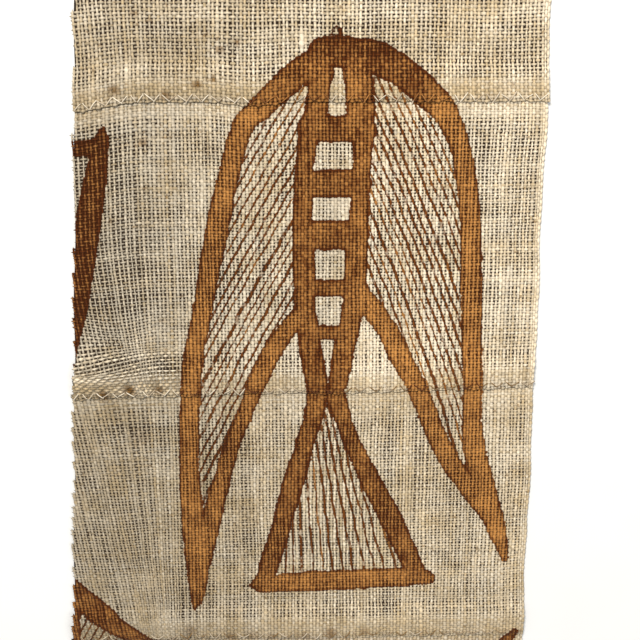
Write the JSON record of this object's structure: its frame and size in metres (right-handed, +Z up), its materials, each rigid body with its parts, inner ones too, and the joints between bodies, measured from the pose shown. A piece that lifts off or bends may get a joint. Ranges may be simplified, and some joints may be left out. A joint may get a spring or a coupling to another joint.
{
  "type": "korhogo cloth",
  "caption": "Cut length of hand-woven cotton strip cloth with lapped zigzag seams and a brown painted bird, lying flat.",
  "frame": {"origin": "centre of the cloth's outline, on the surface that it lies on", "axes": "+Z up from the surface, +X along the strips towards the woven side edge, +Y across the strips towards the painted bird's head"},
  "size_m": [0.1874, 0.29, 0.004],
  "materials": {
    "painted_cotton": "undyed hand-spun cotton in an open plain weave, painted with brown dye, matt"
  },
  "bodies": {
    "root": {"strip_1": "painted_cotton", "strip_2": "painted_cotton", "strip_3": "painted_cotton", "strip_4": "painted_cotton"}
  },
  "joints": []
}
